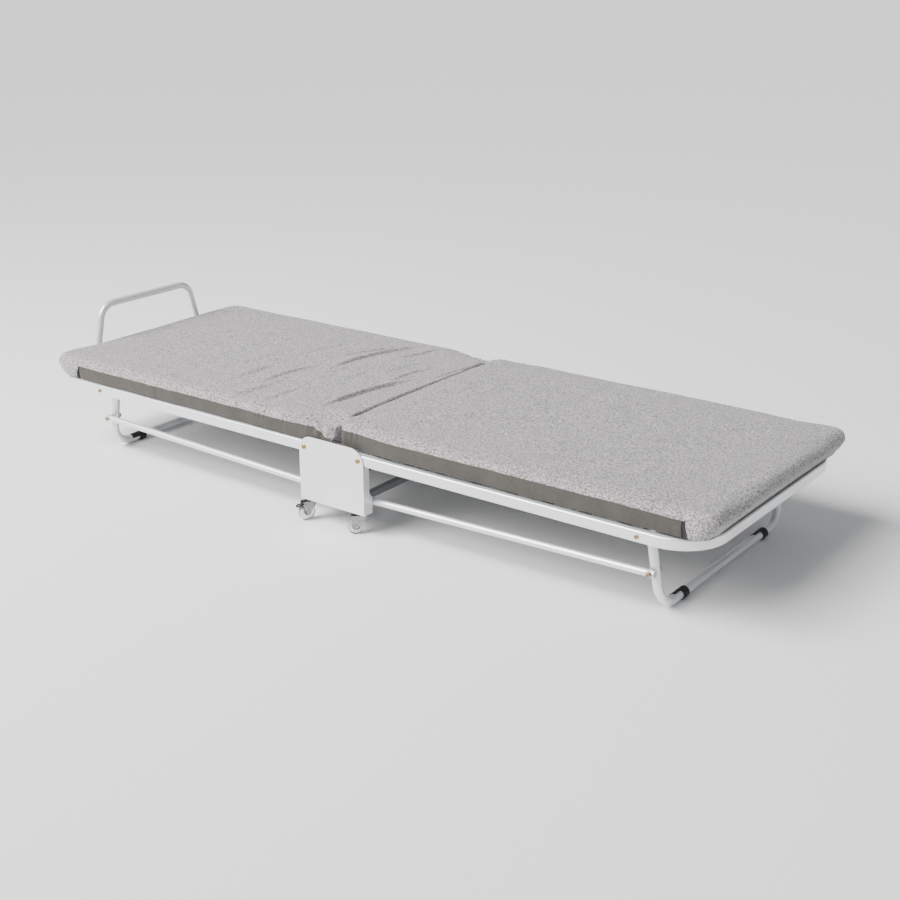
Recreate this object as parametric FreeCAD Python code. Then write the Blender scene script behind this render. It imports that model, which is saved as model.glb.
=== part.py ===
import FreeCAD, Part
import math
import os

# Folding cot. Two sprung-steel half frames hinge on a low wheeled trolley, each with a
# U-shaped end leg that two long links fold flat as the half is raised.
# X runs along the cot (head at -X, foot at +X), Y across it, Z up; millimetres.
# Shapes are drawn from a middle line halfway between the two fold pivots, then moved along X
# so that the origin is on the floor under the centre of the whole cot.

V = FreeCAD.Vector
X_AXIS = V(1, 0, 0)
Y_AXIS = V(0, 1, 0)
Z_AXIS = V(0, 0, 1)
HEAD, FOOT = -1, 1          # the sign of X on each half
NEAR, FAR = -1, 1           # the sign of Y on each side

# ---- Driving dimensions: frames -------------------------------------------------------
head_length = 974.0         # middle to the outside of the head end rail
foot_length = 928.0         # shorter, so that the head handle clears the foot when folded
frame_width = 664.4         # over the outsides of the side rails
rail_z = 180.0              # height of the rails' centre line and of the fold pivots
rail_width = 20.0
rail_height = 26.0
rail_round = 5.0            # corner radius of the rail's section
rail_wall = 1.5
rail_corner = 105.0         # outside radius of the frame's plan corners
rail_inner_end = 12.0       # each rail's inner end, from the middle
plug_lip = 2.0              # end plugs: the part that shows
plug_depth = 16.0

# ---- Deck and mattress ----------------------------------------------------------------
slat_width = 30.0
slat_thickness = 2.0
slat_pitch = 90.0
slat_first = 28.0           # centre of the innermost slat, from the middle
slat_below_top = 0.4        # slats lie this far under the tops of the rails
mattress_thickness = 64.0
mattress_inset = 9.2        # each side, in from the outsides of the rails
fold_gap = 1.0              # from the middle to each half's inner end, while it folds
foot_overhang = 20.0        # mattress beyond the foot end rail
mattress_corner = 32.0      # plan corner radius at the ends of the cot
mattress_edge = 14.0        # radius of the long edges

# ---- Trolley --------------------------------------------------------------------------
pivot_x = 80.0              # each fold pivot, from the middle
plate_half = 95.0           # side plate, from the middle to its edge
plate_bottom = 51.0
plate_top = 207.0
plate_round = 36.0
sheet = 1.5                 # thickness of the side plates
plate_gap = 1.3             # between a side plate and its rail
flange_low = 29.0           # depth of the side flanges, low down
flange_high = 20.0          # and higher up, where the rail swings past
flange_step = (88.0, 100.0)  # heights between which the flange narrows
flange_top_gap = 1.5        # under the rail
bottom_flange = 31.0        # depth of the flange that carries the casters
cross_x = 58.0              # cross tubes, from the middle
cross_z = 75.5
cross_size = 16.0
cross_wall = 1.5
stop_x = 30.0               # stop pins over the rails' inner ends
stop_radius = 4.0
stop_play = 0.2             # between a stop pin and the rail under it
stop_clear = 0.5            # between a stop pin and the mattress side

# ---- Legs and links -------------------------------------------------------------------
leg_inset = 143.6           # from the shorter half's end to its leg pivots
leg_radius = 10.0
leg_wall = 1.5
leg_side = 35.2             # from the inside of a rail to a leg tube's centre line
leg_bend = 55.0
leg_top = 6.0               # tube above the pivot
leg_rake = 30.6             # the foot bar beyond the leg pivots, so that the leg folds flat
link_outer_x = 15.9         # the open pivot, link to leg, beyond the leg pivots
link_outer_z = 92.9
link_inner = (79.3, 74.5)   # X and Z of the pivot, link to trolley
link_radius = 8.0
link_wall = 1.2
link_end = 9.0              # tube beyond each link pivot
link_side = 15.7            # from the inside of a rail to a link's centre line
open_play = 2.9             # radial play at the open pivot, more than the travel needs
foot_span = 186.0           # from the middle to each rubber foot
foot_rubber = 2.0
foot_ring = 22.0            # length of a foot's full ring
foot_tongue = 24.0          # and of the half shell beside it

# ---- Head handle ----------------------------------------------------------------------
handle_radius = 9.5
handle_wall = 1.2
handle_inset = 10.0         # from the outside of the end rail to the posts' centre lines
handle_top = 340.0          # height of the top bar's centre line
handle_foot_half = 190.0    # half spread of the posts at the rail
handle_top_half = 155.0     # and at the top, before the bends
handle_bend = 45.0

# ---- Fasteners and fits ---------------------------------------------------------------
running_fit = 0.05          # radial, a shaft in its hole
clear = 0.4                 # between pieces that move past each other
pivot_bolt_r = 3.5
pivot_head_r = 5.8
leg_bolt_r = 3.0
leg_head_r = 4.9
link_bolt_r = 3.0
link_head_r = 5.2
washer_t = 0.9
head_t = 3.2                # height of a bolt head
nut_t = 4.0

# ---- Casters --------------------------------------------------------------------------
caster_x = 76.0
caster_inset = 19.0         # from the outside of a side plate to the swivel axis
wheel_radius = 20.0
wheel_width = 13.0
hub_radius = 9.0
axle_radius = 2.5
stem_radius = 4.0
caster_trail = 17.0         # from the swivel axis back to the wheel's axle
cap_radius = 12.0
cap_height = 5.0
fork_sheet = 2.0
fork_gap = 1.2              # beside the wheel
pedal_width = 15.0
pedal_ring = 6.5
pedal_reach = 14.0          # from the pedal's pin to the middle of its ring
pedal_slope = 14.0          # degrees below level with the brake off
pedal_thickness = 3.0
pedal_pin = (24.0, 41.0)    # distance from the swivel axis, and height
pedal_pin_r = 1.25
# name: (side along X, side along Y, trail direction in degrees from +X, has a brake)
casters = {
    "head_near": (HEAD, NEAR, -111.0, True),
    "foot_near": (FOOT, NEAR, -136.0, False),
    "head_far": (HEAD, FAR, 111.0, True),
    "foot_far": (FOOT, FAR, 136.0, False),
}

# ---- Worked-out places ----------------------------------------------------------------
half_length = {HEAD: head_length, FOOT: foot_length}
rail_y = frame_width / 2 - rail_width / 2
rail_inside = frame_width / 2 - rail_width
rail_top = rail_z + rail_height / 2
plate_inside = frame_width / 2 + plate_gap
plate_outside = plate_inside + sheet
mattress_bottom = rail_top + 0.3
handle_x = head_length - handle_inset
mattress_width = frame_width - 2 * mattress_inset
caster_y = plate_outside - caster_inset
leg_half_span = rail_inside - leg_side
link_half_span = rail_inside - link_side
leg_x = min(head_length, foot_length) - leg_inset
foot_bar_x = leg_x + leg_rake
link_outer = (leg_x + link_outer_x, link_outer_z)
foot_bar_z = leg_radius + foot_rubber
leg_rise = math.hypot(foot_bar_x - leg_x, rail_z - foot_bar_z)
middle_x = (head_length - foot_length - foot_overhang) / 2


# ---- Helpers --------------------------------------------------------------------------
def save(name, solids):
    """Writes one node, a solid or a group of separate solids."""
    if not isinstance(solids, list):
        solids = [solids]
    shape = solids[0] if len(solids) == 1 else Part.makeCompound(solids)
    shape.translate(V(middle_x, 0, 0))
    shape.exportStep("parts/" + name + ".step")


def cylinder_y(radius, x, z, y_from, y_to):
    """A cylinder along Y between two distances."""
    low, high = min(y_from, y_to), max(y_from, y_to)
    return Part.makeCylinder(radius, high - low, V(x, low, z), Y_AXIS)


def box(x0, x1, y0, y1, z0, z1):
    """A box between pairs of limits, given in either order."""
    low = V(min(x0, x1), min(y0, y1), min(z0, z1))
    return Part.makeBox(abs(x1 - x0), abs(y1 - y0), abs(z1 - z0), low)


def rounded_wire(centre, across, up, width, height, radius):
    """A rounded rectangle about centre, width along across and height along up."""
    edges = []
    for turn in range(4):
        side, top = [(across, up), (up, across * -1), (across * -1, up * -1), (up * -1, across)][turn]
        half_side, half_top = (width / 2, height / 2) if turn % 2 == 0 else (height / 2, width / 2)
        start = centre + side * half_side - top * (half_top - radius)
        end = centre + side * half_side + top * (half_top - radius)
        corner = centre + side * (half_side - radius) + top * (half_top - radius)
        middle = corner + (side + top).normalize() * radius
        stop = corner + top * radius
        edges.append(Part.LineSegment(start, end).toShape())
        edges.append(Part.Arc(end, middle, stop).toShape())
    return Part.Wire(edges)


def circle_wire(centre, normal, radius):
    """A circle about centre, square to normal."""
    return Part.Wire(Part.Circle(centre, normal, radius).toShape())


def bent_path(points, radius):
    """Straight runs through the points, joined by tangent arcs of one radius."""
    edges = []
    start = points[0]
    for before, corner, after in zip(points, points[1:], points[2:]):
        back = (before - corner).normalize()
        on = (after - corner).normalize()
        half = back.getAngle(on) / 2
        reach = radius / math.tan(half)
        centre = corner + (back + on).normalize() * (radius / math.sin(half))
        inward = (corner - centre).normalize()
        arc_start, arc_end = corner + back * reach, corner + on * reach
        edges.append(Part.LineSegment(start, arc_start).toShape())
        edges.append(Part.Arc(arc_start, centre + inward * radius, arc_end).toShape())
        start = arc_end
    edges.append(Part.LineSegment(start, points[-1]).toShape())
    return Part.Wire(edges)


def swept(path, section):
    """A solid of one section along a path."""
    return path.makePipeShell([section], True, False)


def round_tube(points, bend, radius, wall):
    """A bent round tube, open at both ends."""
    path = bent_path(points, bend) if len(points) > 2 else Part.makePolygon(points)
    along = points[1] - points[0]
    outside = swept(path, circle_wire(points[0], along, radius))
    return outside.cut(swept(path, circle_wire(points[0], along, radius - wall)))


def bolt(radius, head_radius, x, z, y_face, y_end, outward):
    """A pan-head bolt along Y: its head stands on y_face, outward, and its shank ends at y_end."""
    head = cylinder_y(head_radius, x, z, y_face, y_face + outward * head_t)
    rim = [e for e in head.Edges if e.Closed and abs(e.CenterOfMass.y - y_face - outward * head_t) < 0.01]
    head = head.makeFillet(head_t * 0.7, rim)
    top = y_face + outward * head_t
    for dx, dz in ((head_radius * 0.55, 0.7), (0.7, head_radius * 0.55)):
        head = head.cut(box(x - dx, x + dx, top - outward * 1.6, top + outward, z - dz, z + dz))
    return head.fuse(cylinder_y(radius, x, z, y_face, y_end)).removeSplitter()


def nut(radius, x, z, y_from, thickness, outward):
    """A hexagon nut along Y with a bore that fits its bolt."""
    flats = radius * 1.85
    points = [V(x + flats * math.cos(math.radians(a)), y_from, z + flats * math.sin(math.radians(a)))
              for a in range(0, 361, 60)]
    body = Part.Face(Part.makePolygon(points)).extrude(V(0, outward * thickness, 0))
    return body.cut(cylinder_y(radius, x, z, y_from - outward, y_from + outward * (thickness + 1)))


def washer(radius, outer, x, z, y_from, thickness, outward):
    """A flat washer or a spacer along Y."""
    body = cylinder_y(outer, x, z, y_from, y_from + outward * thickness)
    return body.cut(cylinder_y(radius, x, z, y_from - outward, y_from + outward * (thickness + 1)))


# ---- Half frames ----------------------------------------------------------------------
def frame_points(side, inset=0.0):
    """The half frame's centre line, from one rail's inner end round to the other's."""
    end = side * (half_length[side] - rail_width / 2)
    inner = side * (rail_inner_end + inset)
    return [V(inner, -rail_y, rail_z), V(end, -rail_y, rail_z), V(end, rail_y, rail_z), V(inner, rail_y, rail_z)]


def frame_solid(side, shrink):
    """The U-shaped rail as a solid bar, its section smaller by shrink all round."""
    path = bent_path(frame_points(side), rail_corner - rail_width / 2)
    section = rounded_wire(V(side * rail_inner_end, -rail_y, rail_z), Y_AXIS, Z_AXIS,
                           rail_width - 2 * shrink, rail_height - 2 * shrink, rail_round - shrink)
    return swept(path, section)


def half_frame(side):
    """The U-shaped rail, with holes for the fold pivots and the leg pivots."""
    frame = frame_solid(side, 0.0).cut(frame_solid(side, rail_wall))
    for y_side in (NEAR, FAR):
        for x, radius in ((pivot_x, pivot_bolt_r), (leg_x, leg_bolt_r)):
            y_from, y_to = y_side * (rail_inside - 5), y_side * (frame_width / 2 + 5)
            frame = frame.cut(cylinder_y(radius + running_fit, side * x, rail_z, y_from, y_to))
    return frame


def rail_plugs(side):
    """The plastic plugs in the rails' inner ends."""
    plugs = []
    for y_side in (NEAR, FAR):
        centre = V(side * rail_inner_end, y_side * rail_y, rail_z)
        lip = rounded_wire(centre, Y_AXIS, Z_AXIS, rail_width - 1.0, rail_height - 1.0, rail_round - 0.5)
        body = rounded_wire(centre, Y_AXIS, Z_AXIS, rail_width - 2 * rail_wall,
                            rail_height - 2 * rail_wall, rail_round - rail_wall)
        plug = Part.Face(lip).extrude(V(-side * plug_lip, 0, 0))
        plugs.append(plug.fuse(Part.Face(body).extrude(V(side * plug_depth, 0, 0))))
    return plugs


def slat_places(side):
    """Slat centres from the middle, leaving room for the leg tops and the folded feet."""
    folded_foot = leg_x - leg_rise
    last = half_length[side] - rail_width - slat_width / 2
    places = []
    x = slat_first
    while x < last:
        near_leg = abs(x - leg_x) < slat_width / 2 + leg_radius + leg_top
        near_foot = abs(x - folded_foot) < slat_width / 2 + foot_bar_z + foot_rubber
        if not near_leg and not near_foot:
            places.append(x)
        x += slat_pitch
    return places


def deck_slats(side):
    """Flat steel slats between the rails, welded just below their tops."""
    top = rail_top - slat_below_top
    bar = frame_solid(side, 0.0)
    slats = []
    for x in slat_places(side):
        middle = side * x
        blank = box(middle - slat_width / 2, middle + slat_width / 2, -rail_y, rail_y, top - slat_thickness, top)
        pieces = blank.cut(bar).Solids
        slats.append(max(pieces, key=lambda s: s.Volume))
    return slats


def mattress(side):
    """One half of the mattress, a rounded block whose inner end is an arc about the fold pivot."""
    outer = half_length[side] + foot_overhang if side == FOOT else handle_x - handle_radius - 4.0
    block = box(side * fold_gap, side * outer, -mattress_width / 2, mattress_width / 2,
                mattress_bottom, mattress_bottom + mattress_thickness)
    upright = [e for e in block.Edges if abs(e.BoundBox.ZLength - mattress_thickness) < 0.01
               and abs(e.CenterOfMass.x - side * outer) < 0.01]
    block = block.makeFillet(mattress_corner, upright)
    rims = [e for e in block.Edges if e.BoundBox.ZLength < 0.01]
    block = block.makeFillet(mattress_edge, rims)
    swing = cylinder_y(pivot_x - fold_gap, side * pivot_x, rail_z, -frame_width / 2, frame_width / 2)
    beyond = box(side * pivot_x, side * (outer + 1), -frame_width / 2, frame_width / 2,
                 rail_z, mattress_bottom + mattress_thickness + 1)
    return block.common(swing.fuse(beyond))


def head_handle():
    """The inverted U that stands on the head end rail, its posts leaning inwards."""
    x = -handle_x
    points = [V(x, -handle_foot_half, rail_top), V(x, -handle_top_half, handle_top),
              V(x, handle_top_half, handle_top), V(x, handle_foot_half, rail_top)]
    reach = 3.0
    lean = (points[0] - points[1]).normalize() * reach
    points[0] = points[0] + lean
    points[3] = points[3] + V(lean.x, -lean.y, lean.z)
    tube = round_tube(points, handle_bend, handle_radius, handle_wall)
    return tube.cut(frame_solid(HEAD, 0.0))


# ---- Trolley --------------------------------------------------------------------------
def side_plate(y_side):
    """A folded sheet side plate: face, two stepped side flanges and a caster flange."""
    z_mid, height = (plate_bottom + plate_top) / 2, plate_top - plate_bottom
    y_low = y_side * plate_inside
    across = V(0, y_side * sheet, 0)
    face = box(-plate_half, plate_half, y_low, y_low + across.y, plate_bottom, plate_top)
    upper = [e for e in face.Edges if abs(e.CenterOfMass.z - plate_top) > 0.01
             and abs(e.BoundBox.YLength - sheet) < 0.01 and e.CenterOfMass.z > z_mid]
    upper += [e for e in face.Edges if abs(e.BoundBox.YLength - sheet) < 0.01
              and abs(e.CenterOfMass.z - plate_top) < 0.01]
    face = face.makeFillet(plate_round, upper)
    profile = [(plate_outside, plate_bottom), (plate_outside - flange_low, plate_bottom),
               (plate_outside - flange_low, flange_step[0]), (plate_outside - flange_high, flange_step[1]),
               (plate_outside - flange_high, rail_z - rail_height / 2 - flange_top_gap),
               (plate_outside, rail_z - rail_height / 2 - flange_top_gap)]
    plate = face
    for side in (HEAD, FOOT):
        x = side * plate_half
        points = [V(x, y_side * y, z) for y, z in profile]
        points.append(points[0])
        plate = plate.fuse(Part.Face(Part.makePolygon(points)).extrude(V(-side * sheet, 0, 0)))
    inner = plate_outside - bottom_flange
    plate = plate.fuse(box(-plate_half, plate_half, y_side * plate_outside, y_side * inner,
                           plate_bottom, plate_bottom + sheet)).removeSplitter()
    for side in (HEAD, FOOT):
        stem = Part.makeCylinder(stem_radius, 4 * sheet, V(side * caster_x, y_side * caster_y, plate_bottom - sheet))
        y_from, y_to = y_side * (plate_inside - 1), y_side * (plate_outside + 1)
        bolt_hole = cylinder_y(pivot_bolt_r, side * pivot_x, rail_z, y_from, y_to)
        pin_hole = cylinder_y(stop_radius, side * stop_x, stop_z(), y_from, y_to)
        plate = plate.cut(stem).cut(bolt_hole).cut(pin_hole)
    return plate


def stop_z():
    """Height of the stop pins, which rest just over the rails' inner ends."""
    return rail_top + stop_radius + stop_play


def stop_pins():
    """Riveted pins that stop each rail's inner end from rising."""
    pins = []
    for side in (HEAD, FOOT):
        for y_side in (NEAR, FAR):
            inner = y_side * (mattress_width / 2 + stop_clear)
            pin = cylinder_y(stop_radius, side * stop_x, stop_z(), inner, y_side * plate_outside)
            head = cylinder_y(stop_radius + 1.0, side * stop_x, stop_z(), y_side * plate_outside,
                              y_side * (plate_outside + 0.8))
            pins.append(pin.fuse(head).removeSplitter())
    return pins


def cross_tube(side):
    """A square tube that joins the two side plates."""
    centre = V(side * cross_x, -plate_inside, cross_z)
    outer = rounded_wire(centre, X_AXIS, Z_AXIS, cross_size, cross_size, 2.5)
    inner = rounded_wire(centre, X_AXIS, Z_AXIS, cross_size - 2 * cross_wall, cross_size - 2 * cross_wall, 1.0)
    along = V(0, 2 * plate_inside, 0)
    return Part.Face(outer).extrude(along).cut(Part.Face(inner).extrude(along))


def each_corner():
    """The four places where a half meets a side plate."""
    return [(side, y_side) for side in (HEAD, FOOT) for y_side in (NEAR, FAR)]


def pivot_bolts():
    """The bolts on which the halves turn."""
    end = rail_inside - clear - nut_t - 0.5
    return [bolt(pivot_bolt_r, pivot_head_r, side * pivot_x, rail_z, y * plate_outside, y * end, y)
            for side, y in each_corner()]


def pivot_nuts():
    """Thin lock nuts inside the rails."""
    return [nut(pivot_bolt_r, side * pivot_x, rail_z, y * (rail_inside - clear), nut_t, -y)
            for side, y in each_corner()]


def pivot_washers():
    """Nylon washers between plates and rails."""
    return [washer(pivot_bolt_r, 9.0, side * pivot_x, rail_z, y * plate_inside, washer_t, -y)
            for side, y in each_corner()]


def link_studs():
    """Studs welded inside the plates, which carry the links' inner ends."""
    end = link_half_span - link_radius - clear - nut_t - 0.5
    return [cylinder_y(link_bolt_r, side * link_inner[0], link_inner[1], y * plate_inside, y * end)
            for side, y in each_corner()]


def link_spacers():
    """Tubes on the studs that hold the links off the plates."""
    length = plate_inside - (link_half_span + link_radius + clear)
    return [washer(link_bolt_r, 6.0, side * link_inner[0], link_inner[1], y * plate_inside, length, -y)
            for side, y in each_corner()]


def link_stud_nuts():
    """Lock nuts on the studs."""
    return [nut(link_bolt_r, side * link_inner[0], link_inner[1], y * (link_half_span - link_radius - clear),
                nut_t, -y) for side, y in each_corner()]


# ---- Legs and links -------------------------------------------------------------------
def leg_tube(side):
    """A U-shaped end leg, leaning outwards, with its pivot holes."""
    rise = V(side * (leg_x - foot_bar_x), 0, rail_z - foot_bar_z).normalize() * leg_top
    low, high = side * foot_bar_x, side * leg_x
    points = [V(high, -leg_half_span, rail_z) + rise, V(low, -leg_half_span, foot_bar_z),
              V(low, leg_half_span, foot_bar_z), V(high, leg_half_span, rail_z) + rise]
    leg = round_tube(points, leg_bend, leg_radius, leg_wall)
    holes = ((leg_x, rail_z, leg_bolt_r + running_fit), (link_outer[0], link_outer[1], link_bolt_r + open_play))
    for y_side in (NEAR, FAR):
        span = y_side * (leg_half_span - 2 * leg_radius), y_side * (leg_half_span + 2 * leg_radius)
        for x, z, radius in holes:
            leg = leg.cut(cylinder_y(radius, side * x, z, *span))
    return leg


def leg_caps(side):
    """Rounded plugs in the tops of a leg."""
    rise = V(side * (leg_x - foot_bar_x), 0, rail_z - foot_bar_z).normalize()
    caps = []
    for y_side in (NEAR, FAR):
        end = V(side * leg_x, y_side * leg_half_span, rail_z) + rise * leg_top
        lip = Part.makeCylinder(leg_radius - 0.2, 2.5, end, rise)
        rim = [e for e in lip.Edges if e.Closed and (e.CenterOfMass - end).Length > 2.0]
        lip = lip.makeFillet(2.2, rim)
        caps.append(lip.fuse(Part.makeCylinder(leg_radius - leg_wall, 1.5, end - rise * 1.5, rise)))
    return caps


def feet(side):
    """Rubber feet on the foot bar: a full ring and a half shell beside it."""
    made = []
    x = side * foot_bar_x
    for y_side in (NEAR, FAR):
        y0 = y_side * foot_span - foot_ring / 2
        ring = cylinder_y(leg_radius + foot_rubber, x, foot_bar_z, y0, y0 + foot_ring)
        shell = cylinder_y(leg_radius + foot_rubber - 0.3, x, foot_bar_z, y0 - foot_tongue, y0)
        keep = box(x - side * 30, x, y0 - foot_tongue, y0, foot_bar_z, foot_bar_z + 30)
        keep.rotate(V(x, y0, foot_bar_z), Y_AXIS, side * 10)
        foot = ring.fuse(shell.common(keep))
        made.append(foot.cut(cylinder_y(leg_radius, x, foot_bar_z, y0 - 2 * foot_tongue, y0 + 2 * foot_ring)))
    return made


def leg_hardware(side):
    """The bolts, spacers and nuts of a half's leg pivots."""
    bolts, spacers, nuts = [], [], []
    outer_face, inner_face = leg_half_span + leg_radius, leg_half_span - leg_radius
    for y in (NEAR, FAR):
        x = side * leg_x
        end = inner_face - clear - nut_t - 1
        bolts.append(bolt(leg_bolt_r, leg_head_r, x, rail_z, y * frame_width / 2, y * end, y))
        spacers.append(washer(leg_bolt_r, 7.0, x, rail_z, y * rail_inside, rail_inside - outer_face - clear, -y))
        nuts.append(nut(leg_bolt_r, x, rail_z, y * (inner_face - clear), nut_t, -y))
    return bolts, spacers, nuts


def link(side, y_side):
    """A long link from the trolley to a leg, with a hole at each end."""
    inner = V(side * link_inner[0], y_side * link_half_span, link_inner[1])
    outer = V(side * link_outer[0], y_side * link_half_span, link_outer[1])
    along = (outer - inner).normalize()
    points = [inner - along * link_end, outer + along * link_end]
    tube = round_tube(points, 0, link_radius, link_wall)
    for end in (inner, outer):
        fit = running_fit if end is inner else 0.0
        y_from, y_to = y_side * (link_half_span - 20), y_side * (link_half_span + 20)
        tube = tube.cut(cylinder_y(link_bolt_r + fit, end.x, end.z, y_from, y_to))
    return tube


def link_caps(side):
    """Plugs in the ends of a half's two links."""
    caps = []
    for y_side in (NEAR, FAR):
        inner = V(side * link_inner[0], y_side * link_half_span, link_inner[1])
        outer = V(side * link_outer[0], y_side * link_half_span, link_outer[1])
        along = (outer - inner).normalize()
        for end, outward in ((inner - along * link_end, along * -1), (outer + along * link_end, along)):
            lip = Part.makeCylinder(link_radius, 2.2, end, outward)
            rim = [e for e in lip.Edges if e.Closed and (e.CenterOfMass - end).Length > 2.0]
            lip = lip.makeFillet(2.0, rim)
            caps.append(lip.fuse(Part.makeCylinder(link_radius - link_wall, 4.0, end - outward * 4.0, outward)))
    return caps


def link_hardware(side):
    """The bolts of the open pivots, and their washers and nuts inside the legs."""
    bolts, washers, nuts = [], [], []
    x, z = side * link_outer[0], link_outer[1]
    link_face, leg_face = link_half_span + link_radius, leg_half_span - leg_radius
    for y in (NEAR, FAR):
        washers.append(washer(link_bolt_r, 7.5, x, z, y * link_face, washer_t, y))
        end = leg_face - clear - washer_t - nut_t - 1
        bolts.append(bolt(link_bolt_r, link_head_r, x, z, y * (link_face + washer_t), y * end, y))
        washers.append(washer(link_bolt_r, 8.0, x, z, y * (leg_face - clear), washer_t, -y))
        nuts.append(nut(link_bolt_r, x, z, y * (leg_face - clear - washer_t), nut_t, -y))
    return bolts, washers, nuts


# ---- Casters --------------------------------------------------------------------------
def swivel_point(side, y_side, z):
    """A point on a caster's swivel axis."""
    return V(side * caster_x, y_side * caster_y, z)


def turned(shape, side, y_side, angle):
    """A caster piece drawn trailing along +X from the origin, put in its place."""
    shape.rotate(V(0, 0, 0), Z_AXIS, angle)
    shape.translate(swivel_point(side, y_side, 0))
    return shape


def fork(braked):
    """The fork: a crown on the stem and two cheeks down to the axle."""
    crown_top = plate_bottom - cap_height - clear
    crown_low = crown_top - fork_sheet
    half = wheel_width / 2 + fork_gap
    crown = box(-8.0, caster_trail - 3.0, -half - fork_sheet, half + fork_sheet, crown_low, crown_top)
    crown = crown.fuse(Part.makeCylinder(11.0, fork_sheet, V(0, 0, crown_low))).removeSplitter()
    body = crown
    for y_side in (NEAR, FAR):
        y = y_side * half
        points = [V(-8, y, crown_top), V(pedal_pin[0] + 4, y, crown_top), V(pedal_pin[0] + 4, y, pedal_pin[1] - 4),
                  V(caster_trail + 5, y, wheel_radius - 3), V(caster_trail - 5, y, wheel_radius - 3),
                  V(-8, y, crown_low), V(-8, y, crown_top)]
        cheek = Part.Face(Part.makePolygon(points)).extrude(V(0, y_side * fork_sheet, 0))
        boss = cylinder_y(6.0, caster_trail, wheel_radius, y, y + y_side * fork_sheet)
        body = body.fuse(cheek).fuse(boss)
    stem_hole = Part.makeCylinder(stem_radius + running_fit, 20, V(0, 0, crown_low - 10))
    axle_hole = cylinder_y(axle_radius, caster_trail, wheel_radius, -30, 30)
    body = body.removeSplitter().cut(stem_hole).cut(axle_hole)
    if braked:
        body = body.cut(cylinder_y(pedal_pin_r + running_fit, pedal_pin[0], pedal_pin[1], -30, 30))
    return max(body.Solids, key=lambda s: s.Volume)


def axle():
    """The axle rivet, headed outside both cheeks."""
    half = wheel_width / 2 + fork_gap + fork_sheet
    pin = cylinder_y(axle_radius, caster_trail, wheel_radius, -half, half)
    for y_side in (NEAR, FAR):
        pin = pin.fuse(cylinder_y(4.0, caster_trail, wheel_radius, y_side * half, y_side * (half + 1.2)))
    return pin.removeSplitter()


def tyre():
    """The clear wheel, crowned, round its hub."""
    half = wheel_width / 2
    disc = cylinder_y(wheel_radius, caster_trail, wheel_radius, -half, half)
    disc = disc.makeFillet(3.0, [e for e in disc.Edges if e.Closed])
    return disc.cut(cylinder_y(hub_radius, caster_trail, wheel_radius, -half - 1, half + 1))


def hub():
    """The plastic hub inside the clear wheel."""
    half = wheel_width / 2 + 0.6
    body = cylinder_y(hub_radius, caster_trail, wheel_radius, -half, half)
    return body.cut(cylinder_y(axle_radius + running_fit, caster_trail, wheel_radius, -half - 1, half + 1))


def pedal():
    """The brake pedal: a pin through the cheeks, and an arm down to a ring for the toe."""
    x, z = pedal_pin
    low = z - pedal_thickness / 2
    arm = box(x, x + pedal_reach, -4.5, 4.5, low, low + pedal_thickness)
    ring = Part.makeCylinder(pedal_ring, pedal_thickness, V(x + pedal_reach, 0, low))
    body = arm.fuse(ring).fuse(cylinder_y(pedal_thickness / 2, x, z, -pedal_width / 2, pedal_width / 2))
    body = body.removeSplitter().cut(Part.makeCylinder(pedal_ring - 2.8, 20, V(x + pedal_reach, 0, low - 5)))
    half_pin = wheel_width / 2 + fork_gap + fork_sheet + 0.8
    body = body.fuse(cylinder_y(pedal_pin_r, x, z, -half_pin, half_pin)).removeSplitter()
    body.rotate(V(x, 0, z), Y_AXIS, pedal_slope)
    return body


def caster_stems():
    """The fixed stems, headed under the forks' crowns, and their nuts above the flange."""
    stems = []
    low = plate_bottom - cap_height - clear - fork_sheet
    for side, y_side in each_corner():
        stem = Part.makeCylinder(stem_radius, plate_bottom + 12 - low, swivel_point(side, y_side, low))
        head = Part.makeCylinder(6.5, 1.2, swivel_point(side, y_side, low - clear - 1.2))
        neck = Part.makeCylinder(stem_radius, clear, swivel_point(side, y_side, low - clear))
        stems.append(stem.fuse(head).fuse(neck).removeSplitter())
        stem_nut = nut(stem_radius, 0, 0, 0, nut_t, 1)
        stem_nut.rotate(V(0, 0, 0), X_AXIS, 90)
        stem_nut.translate(swivel_point(side, y_side, plate_bottom + sheet))
        stems.append(stem_nut)
    return stems


def caster_caps():
    """Black swivel housings between the flange and the forks."""
    caps = []
    for side, y_side in each_corner():
        cap = Part.makeCylinder(cap_radius, cap_height, swivel_point(side, y_side, plate_bottom - cap_height))
        caps.append(cap.cut(Part.makeCylinder(stem_radius, 30, swivel_point(side, y_side, plate_bottom - 15))))
    return caps


# ---- Build ----------------------------------------------------------------------------
def build_trolley():
    save("side_plate_near", side_plate(NEAR))
    save("side_plate_far", side_plate(FAR))
    save("cross_tube_head", cross_tube(HEAD))
    save("cross_tube_foot", cross_tube(FOOT))
    save("stop_pins", stop_pins())
    save("pivot_bolts", pivot_bolts())
    save("pivot_nuts", pivot_nuts())
    save("pivot_washers", pivot_washers())
    save("link_studs", link_studs())
    save("link_spacers", link_spacers())
    save("link_stud_nuts", link_stud_nuts())
    save("caster_stems", caster_stems())
    save("caster_caps", caster_caps())


def build_half(name, side):
    save(name + "_frame", half_frame(side))
    save(name + "_rail_plugs", rail_plugs(side))
    save(name + "_deck_slats", deck_slats(side))
    save(name + "_mattress", mattress(side))
    bolts, spacers, nuts = leg_hardware(side)
    save(name + "_leg_bolts", bolts)
    save(name + "_leg_spacers", spacers)
    save(name + "_leg_nuts", nuts)
    save(name + "_leg_tube", leg_tube(side))
    save(name + "_leg_caps", leg_caps(side))
    save(name + "_feet", feet(side))
    save(name + "_link_near", link(side, NEAR))
    save(name + "_link_far", link(side, FAR))
    save(name + "_link_caps", link_caps(side))
    bolts, washers, nuts = link_hardware(side)
    save(name + "_link_bolts", bolts)
    save(name + "_link_washers", washers)
    save(name + "_link_nuts", nuts)


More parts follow.
